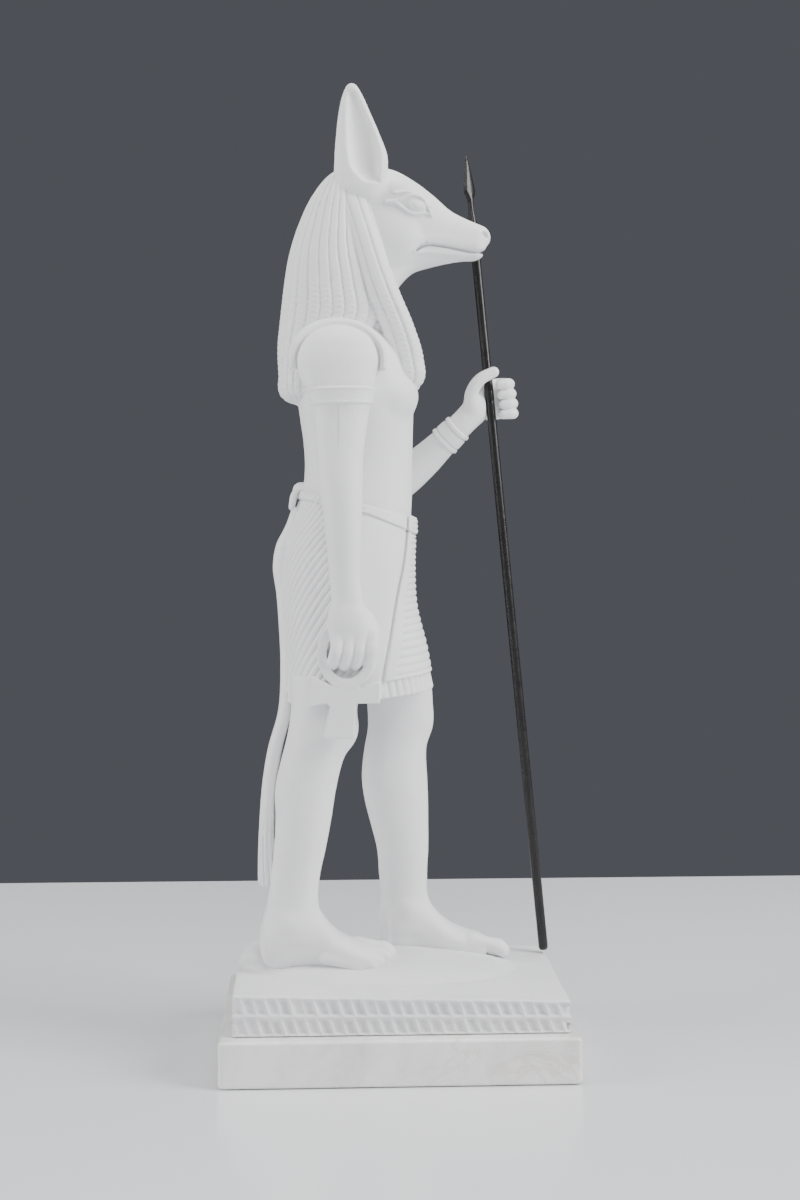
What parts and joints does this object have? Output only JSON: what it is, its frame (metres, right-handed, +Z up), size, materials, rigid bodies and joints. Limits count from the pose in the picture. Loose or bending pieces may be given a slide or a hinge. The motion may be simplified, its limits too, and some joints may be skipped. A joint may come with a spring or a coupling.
{
  "type": "anubis statue",
  "caption": "Standing jackal-headed Egyptian figure on a rough base and a slab plinth, a looped cross in its right fist and a tall thin spear through its left.",
  "frame": {"origin": "centre of the plinth's underside", "axes": "+X the way the figure faces, +Y the figure's left, +Z up"},
  "size_m": [0.152, 0.113, 0.4244],
  "materials": {
    "white_cast_stone": "matt white cast stone, chiselled on the sides of the base",
    "alabaster": "polished, translucent and cloudy",
    "black_metal": "glossy black paint"
  },
  "bodies": {
    "root": {"figure": "white_cast_stone", "plinth": "alabaster", "spear": "black_metal"}
  },
  "joints": []
}
